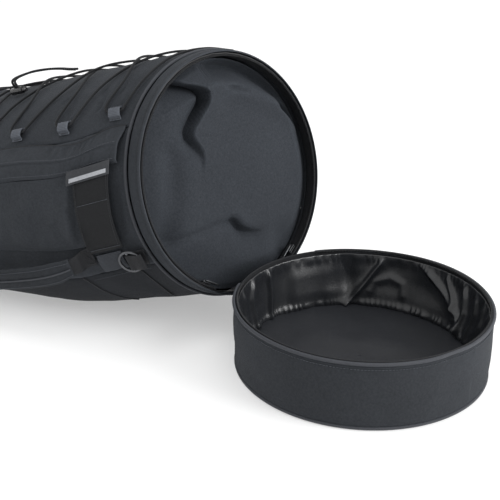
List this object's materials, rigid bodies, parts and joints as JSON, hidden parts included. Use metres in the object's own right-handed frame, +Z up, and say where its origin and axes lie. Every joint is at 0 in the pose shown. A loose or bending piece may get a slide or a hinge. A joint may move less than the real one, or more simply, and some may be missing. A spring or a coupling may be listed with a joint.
{
  "type": "duffel bag",
  "caption": "Cylindrical gear duffel on its side: a round end compartment folded open from a wired hoop, cord lacing on top, a side pocket and a padded grab handle.",
  "frame": {"origin": "bottom centre of the whole object's box, on the floor it lies on", "axes": "+X out of the hooped mouth towards the open end compartment, -Y the side with the pocket and the grab handle, +Z up"},
  "size_m": [0.9438, 0.471, 0.3385],
  "materials": {
    "charcoal_fabric": "closely woven coated polyester, matt charcoal",
    "base_fabric": "the same fabric over the base, matt charcoal",
    "black_webbing": "black woven webbing and zip tape",
    "grey_webbing": "grey ribbed webbing",
    "lining": "smooth glossy black lining",
    "binding": "dark corded piping",
    "board": "stiffening board, covered by fabric",
    "black_plastic": "moulded black plastic",
    "gunmetal": "dark gunmetal finish on die-cast metal",
    "label_fabric": "pale woven label with no lettering",
    "shock_cord": "braided black elastic cord",
    "spring_steel": "bright spring wire"
  },
  "bodies": {
    "bag_body": {"lacing_panel": "charcoal_fabric", "near_side_panel": "charcoal_fabric", "far_side_panel": "charcoal_fabric", "side_pocket": "charcoal_fabric", "zip_flap": "charcoal_fabric", "hoop_band": "charcoal_fabric", "divider": "charcoal_fabric", "bottom_panel": "base_fabric", "pocket_zip_tape": "black_webbing", "side_strap": "black_webbing", "handle_anchor_front": "black_webbing", "handle_anchor_rear": "black_webbing", "hoop_zip_tape": "black_webbing", "hinge_flap": "black_webbing", "strap_tail": "grey_webbing", "near_lace_loop_1": "grey_webbing", "near_lace_loop_2": "grey_webbing", "near_lace_loop_3": "grey_webbing", "near_lace_loop_4": "grey_webbing", "near_lace_loop_5": "grey_webbing", "near_lace_loop_6": "grey_webbing", "far_lace_loop_1": "grey_webbing", "far_lace_loop_2": "grey_webbing", "far_lace_loop_3": "grey_webbing", "far_lace_loop_4": "grey_webbing", "far_lace_loop_5": "grey_webbing", "far_lace_loop_6": "grey_webbing", "hoop_piping": "binding", "end_piping": "binding", "hoop_stiffener": "board", "lock_barrel": "black_plastic", "blank_label": "label_fabric", "lace_cord_a": "shock_cord", "lace_cord_b": "shock_cord", "tail_cord_a": "shock_cord", "tail_cord_b": "shock_cord", "lock_spring": "spring_steel"},
    "pod": {"pod_base": "base_fabric", "pod_base_board": "board", "pod_floor_lining": "lining", "pod_base_piping": "binding", "pod_wall": "charcoal_fabric", "pod_wall_lining": "lining", "pod_rim_piping": "binding", "pod_zip_tape": "black_webbing"},
    "near_slider": {"near_zip_slider": "gunmetal"},
    "near_pull": {"near_zip_pull": "gunmetal"},
    "far_slider": {"far_zip_slider": "gunmetal"},
    "far_pull": {"far_zip_pull": "gunmetal"},
    "pocket_slider": {"pocket_zip_slider": "gunmetal"},
    "ring_tab": {"ring_tab": "black_webbing"},
    "strap_ring": {"strap_ring": "gunmetal"},
    "grab_handle": {"handle_pad": "charcoal_fabric"},
    "lock_plunger": {"lock_plunger": "black_plastic"},
    "lid": {"end_lid": "charcoal_fabric", "lid_handle": "black_webbing", "lid_zip_slider": "gunmetal"},
    "lid_pull": {"lid_zip_pull": "gunmetal"}
  },
  "joints": [
    {"name": "pod_hinge", "type": "hinge", "parent": "bag_body", "child": "pod", "pos_m": [0.17625, 0.07828, 0.05537], "axis": [0, -1, 0], "range_deg": [0, 104.5], "deforming": ["hinge_flap"]},
    {"name": "near_slider_travel", "type": "hinge", "parent": "bag_body", "child": "near_slider", "pos_m": [0.1136, 0.07828, 0.18806], "axis": [-0.9681, 0, -0.2504], "range_deg": [0, 138]},
    {"name": "near_pull_swing", "type": "hinge", "parent": "near_slider", "child": "near_pull", "pos_m": [0.13476, 0.00078, 0.07027], "axis": [0.9681, 0, 0.2504], "range_deg": [0, 150]},
    {"name": "far_slider_travel", "type": "hinge", "parent": "bag_body", "child": "far_slider", "pos_m": [0.1136, 0.07828, 0.18806], "axis": [0.9681, 0, 0.2504], "range_deg": [0, 138]},
    {"name": "far_pull_swing", "type": "hinge", "parent": "far_slider", "child": "far_pull", "pos_m": [0.13476, 0.15579, 0.07027], "axis": [-0.9681, 0, -0.2504], "range_deg": [0, 150]},
    {"name": "pocket_slider_travel", "type": "slide", "parent": "bag_body", "child": "pocket_slider", "axis": [-0.9258, -0.3318, -0.1811], "range_m": [0, 0.18]},
    {"name": "ring_tab_lift", "type": "hinge", "parent": "bag_body", "child": "ring_tab", "pos_m": [0.10616, -0.06959, 0.11473], "axis": [0.1142, 0.376, -0.9196], "range_deg": [-60, 0]},
    {"name": "ring_swing", "type": "hinge", "parent": "ring_tab", "child": "strap_ring", "pos_m": [0.09072, -0.08115, 0.10809], "axis": [0.1142, 0.376, -0.9196], "range_deg": [-8, 5]},
    {"name": "handle_flop", "type": "hinge", "parent": "bag_body", "child": "grab_handle", "pos_m": [0.03626, -0.11463, 0.1011], "axis": [-0.9104, -0.3495, -0.2215], "range_deg": [-30, 30], "deforming": ["handle_anchor_front", "handle_anchor_rear"]},
    {"name": "lock_press", "type": "slide", "parent": "bag_body", "child": "lock_plunger", "axis": [-0.9217, -0.285, -0.2632], "range_m": [0, 0.0024], "stiffness_N_per_m": 600, "deforming": ["lock_spring"]},
    {"name": "lid_hinge", "type": "hinge", "parent": "bag_body", "child": "lid", "pos_m": [-0.42973, -0.08258, 0.007], "axis": [0.2756, -0.9613, 0], "range_deg": [0, 80]},
    {"name": "lid_pull_swing", "type": "hinge", "parent": "lid", "child": "lid_pull", "pos_m": [-0.4007, -0.20741, 0.062], "axis": [-0.2756, 0.9613, 0], "range_deg": [0, 150]}
  ]
}
